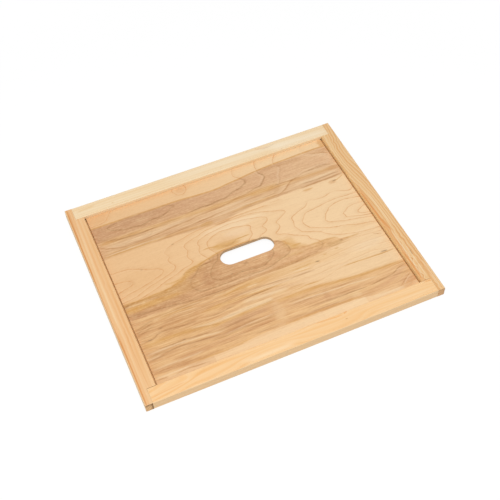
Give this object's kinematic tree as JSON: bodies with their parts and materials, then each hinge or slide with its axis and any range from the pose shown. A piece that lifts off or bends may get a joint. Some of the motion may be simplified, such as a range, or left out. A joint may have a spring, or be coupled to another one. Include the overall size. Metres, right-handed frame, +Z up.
{
  "type": "hive inner cover",
  "caption": "Flat wooden inner cover for a beehive: a plywood panel with a central slot, held in grooved and rabbeted pine rails that stand proud above and below it.",
  "frame": {"origin": "middle of the underside of the frame, where it rests on the hive body", "axes": "+X along the long side, +Y towards the back, +Z up through the thickness"},
  "size_m": [0.505, 0.413, 0.017],
  "materials": {
    "side_pine": "planed softwood, bare",
    "front_pine": "planed softwood, bare",
    "back_pine": "planed softwood, bare, pale sapwood",
    "face_veneer": "rotary cut hardwood veneer, sanded, bare",
    "cross_veneer": "veneer, end grain at the slot",
    "core_veneer": "veneer, edge at the slot",
    "back_veneer": "rotary cut hardwood veneer, sanded, bare",
    "staple_steel": "galvanised wire"
  },
  "bodies": {
    "root": {"side_rail_left": "side_pine", "side_rail_right": "side_pine", "end_rail_front": "front_pine", "end_rail_back": "back_pine", "panel_face_veneer": "face_veneer", "panel_upper_crossband": "cross_veneer", "panel_core": "core_veneer", "panel_lower_crossband": "cross_veneer", "panel_back_veneer": "back_veneer", "staple_left_front_outer": "staple_steel", "staple_left_front_inner": "staple_steel", "staple_left_back_outer": "staple_steel", "staple_left_back_inner": "staple_steel", "staple_right_front_outer": "staple_steel", "staple_right_front_inner": "staple_steel", "staple_right_back_outer": "staple_steel", "staple_right_back_inner": "staple_steel"}
  },
  "joints": []
}
